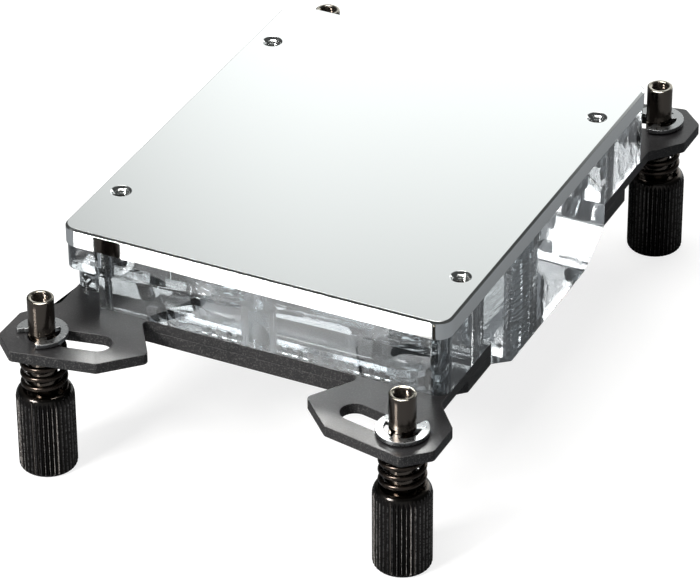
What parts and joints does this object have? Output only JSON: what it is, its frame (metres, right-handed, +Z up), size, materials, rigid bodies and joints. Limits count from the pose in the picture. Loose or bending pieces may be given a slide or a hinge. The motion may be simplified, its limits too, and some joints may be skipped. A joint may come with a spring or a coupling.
{
  "type": "liquid cooling cold plate",
  "caption": "Processor water block, cold face up: mirror nickel plate on a clear block with threaded ports, in black slotted brackets with captive sprung thumbscrews.",
  "frame": {"origin": "on the floor, under the middle of the part as it stands on its four thumbscrew heads", "axes": "+X across the width, +Y along the length towards the rear, +Z up, out of the cold face"},
  "size_m": [0.0878, 0.1334, 0.044],
  "materials": {
    "mirror_nickel": "mirror polished nickel plate",
    "clear_acrylic": "clear, polished outside, milled inside",
    "black_rubber": "matt black",
    "spring_steel": "satin stainless sheet",
    "black_sheet": "satin black coat on laser-cut sheet",
    "black_nickel": "bright black nickel plate",
    "bright_steel": "bright steel"
  },
  "bodies": {
    "block": {"cold_plate": "mirror_nickel", "top_block": "clear_acrylic", "gasket": "black_rubber", "jet_plate": "spring_steel", "front_bracket": "black_sheet", "rear_bracket": "black_sheet", "front_stiffener": "black_sheet", "rear_stiffener": "black_sheet", "body_screw_front_left": "black_nickel", "body_screw_front_right": "black_nickel", "body_screw_rear_right": "black_nickel", "body_screw_rear_left": "black_nickel"},
    "carriage_front_left": {"spring_front_left": "black_nickel"},
    "clip_front_left": {"retaining_clip_front_left": "bright_steel"},
    "screw_front_left": {"thumbscrew_front_left": "black_nickel"},
    "carriage_front_right": {"spring_front_right": "black_nickel"},
    "clip_front_right": {"retaining_clip_front_right": "bright_steel"},
    "screw_front_right": {"thumbscrew_front_right": "black_nickel"},
    "carriage_rear_right": {"spring_rear_right": "black_nickel"},
    "clip_rear_right": {"retaining_clip_rear_right": "bright_steel"},
    "screw_rear_right": {"thumbscrew_rear_right": "black_nickel"},
    "carriage_rear_left": {"spring_rear_left": "black_nickel"},
    "clip_rear_left": {"retaining_clip_rear_left": "bright_steel"},
    "screw_rear_left": {"thumbscrew_rear_left": "black_nickel"}
  },
  "joints": [
    {"name": "slot_front_left", "type": "slide", "parent": "block", "child": "carriage_front_left", "axis": [0.9799, 0.1994, 0], "range_m": [0, 0.0106]},
    {"name": "press_front_left", "type": "slide", "parent": "carriage_front_left", "child": "clip_front_left", "axis": [0, 0, 1], "range_m": [0, 0.0036], "stiffness_N_per_m": 2000, "springref_m": -0.004, "deforming": ["spring_front_left"]},
    {"name": "spin_front_left", "type": "hinge", "parent": "clip_front_left", "child": "screw_front_left", "pos_m": [-0.0364, -0.0595, 0.017], "axis": [0, 0, 1], "continuous": true},
    {"name": "slot_front_right", "type": "slide", "parent": "block", "child": "carriage_front_right", "axis": [-0.9799, 0.1994, 0], "range_m": [0, 0.0106]},
    {"name": "press_front_right", "type": "slide", "parent": "carriage_front_right", "child": "clip_front_right", "axis": [0, 0, 1], "range_m": [0, 0.0036], "stiffness_N_per_m": 2000, "springref_m": -0.004, "deforming": ["spring_front_right"]},
    {"name": "spin_front_right", "type": "hinge", "parent": "clip_front_right", "child": "screw_front_right", "pos_m": [0.0364, -0.0595, 0.017], "axis": [0, 0, 1], "continuous": true},
    {"name": "slot_rear_right", "type": "slide", "parent": "block", "child": "carriage_rear_right", "axis": [-0.9799, -0.1994, 0], "range_m": [0, 0.0106]},
    {"name": "press_rear_right", "type": "slide", "parent": "carriage_rear_right", "child": "clip_rear_right", "axis": [0, 0, 1], "range_m": [0, 0.0036], "stiffness_N_per_m": 2000, "springref_m": -0.004, "deforming": ["spring_rear_right"]},
    {"name": "spin_rear_right", "type": "hinge", "parent": "clip_rear_right", "child": "screw_rear_right", "pos_m": [0.0364, 0.0595, 0.017], "axis": [0, 0, 1], "continuous": true},
    {"name": "slot_rear_left", "type": "slide", "parent": "block", "child": "carriage_rear_left", "axis": [0.9799, -0.1994, 0], "range_m": [0, 0.0106]},
    {"name": "press_rear_left", "type": "slide", "parent": "carriage_rear_left", "child": "clip_rear_left", "axis": [0, 0, 1], "range_m": [0, 0.0036], "stiffness_N_per_m": 2000, "springref_m": -0.004, "deforming": ["spring_rear_left"]},
    {"name": "spin_rear_left", "type": "hinge", "parent": "clip_rear_left", "child": "screw_rear_left", "pos_m": [-0.0364, 0.0595, 0.017], "axis": [0, 0, 1], "continuous": true}
  ]
}
